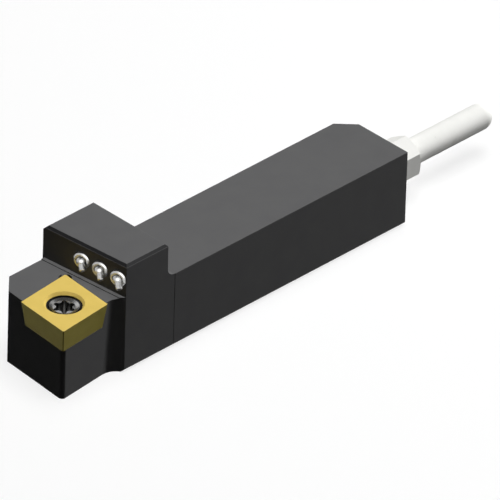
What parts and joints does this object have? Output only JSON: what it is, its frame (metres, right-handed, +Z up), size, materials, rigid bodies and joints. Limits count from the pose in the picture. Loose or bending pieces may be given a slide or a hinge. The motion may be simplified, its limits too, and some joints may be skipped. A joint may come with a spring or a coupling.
{
  "type": "turning tool holder",
  "caption": "Square-shank right-hand turning tool holder with a screwed-on rhombic insert, tilted coolant jets above it and a rear coolant nipple",
  "frame": {"origin": "on the underside of the shank, on its centre line, 45 mm behind the insert's nose corner", "axes": "+X runs back along the shank from the cutting nose to the coolant nipple, -Y is the cutting side, +Z is up out of the insert's top face"},
  "size_m": [0.0925, 0.0158, 0.0183],
  "materials": {
    "black_steel": "satin black oxide",
    "gold_coating": "satin gold-coloured hard coating on carbide",
    "dark_steel": "dark oiled steel",
    "bright_steel": "fine turned",
    "nipple_steel": "turned, satin",
    "seal_copper": "soft annealed copper",
    "plug_steel": "black oxide"
  },
  "bodies": {
    "root": {"tool_body": "black_steel", "cutting_insert": "gold_coating", "insert_screw": "dark_steel", "jet_nozzle_inner": "bright_steel", "jet_nozzle_middle": "bright_steel", "jet_nozzle_outer": "bright_steel", "coolant_nipple": "nipple_steel", "nipple_seal_ring": "seal_copper", "gallery_plug": "plug_steel", "riser_plug": "plug_steel"}
  },
  "joints": []
}
